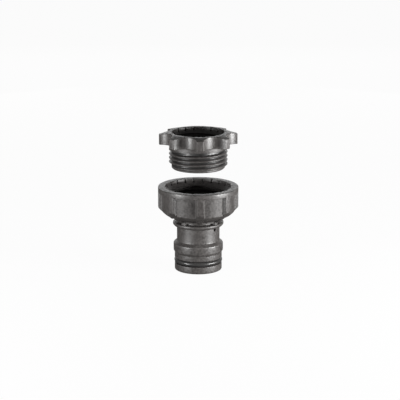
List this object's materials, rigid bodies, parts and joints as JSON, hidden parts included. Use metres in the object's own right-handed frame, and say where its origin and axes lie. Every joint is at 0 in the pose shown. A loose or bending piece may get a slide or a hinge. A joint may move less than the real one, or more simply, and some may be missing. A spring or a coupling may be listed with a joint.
{
  "type": "garden hose tap connector with reducer",
  "caption": "Garden hose adapter: a threaded tap connector with a quick-coupling nipple and sealing ring, and a lugged screw-in reducer bush shown lifted out above it.",
  "frame": {"origin": "centre of the nipple's end face, which the part stands on", "axes": "+Z along the common axis, from the nipple to the tap side; +X and +Y across it, the small drain notch being nearest +X"},
  "size_m": [0.0456, 0.0456, 0.0798],
  "materials": {
    "dark_plastic": "satin moulded plastic, dark warm grey",
    "ring_rubber": "smooth black rubber, slightly glossy",
    "washer_rubber": "matt black rubber"
  },
  "bodies": {
    "connector": {"connector": "dark_plastic", "o_ring": "ring_rubber", "socket_washer": "washer_rubber"},
    "reducer_seal": {"reducer_washer": "washer_rubber"},
    "reducer": {"reducer": "dark_plastic"}
  },
  "joints": [
    {"name": "reducer_advance", "type": "slide", "parent": "connector", "child": "reducer_seal", "axis": [0, 0, 1], "range_m": [-0.0229, 0]},
    {"name": "reducer_turn", "type": "hinge", "parent": "reducer_seal", "child": "reducer", "pos_m": [0, 0, 0.065], "axis": [0, 0, 1], "range_deg": [-3570, 0]}
  ],
  "couplings": [
    {"joint": "reducer_advance", "follows": "reducer_turn", "m_per_rad": 0.00036749}
  ]
}
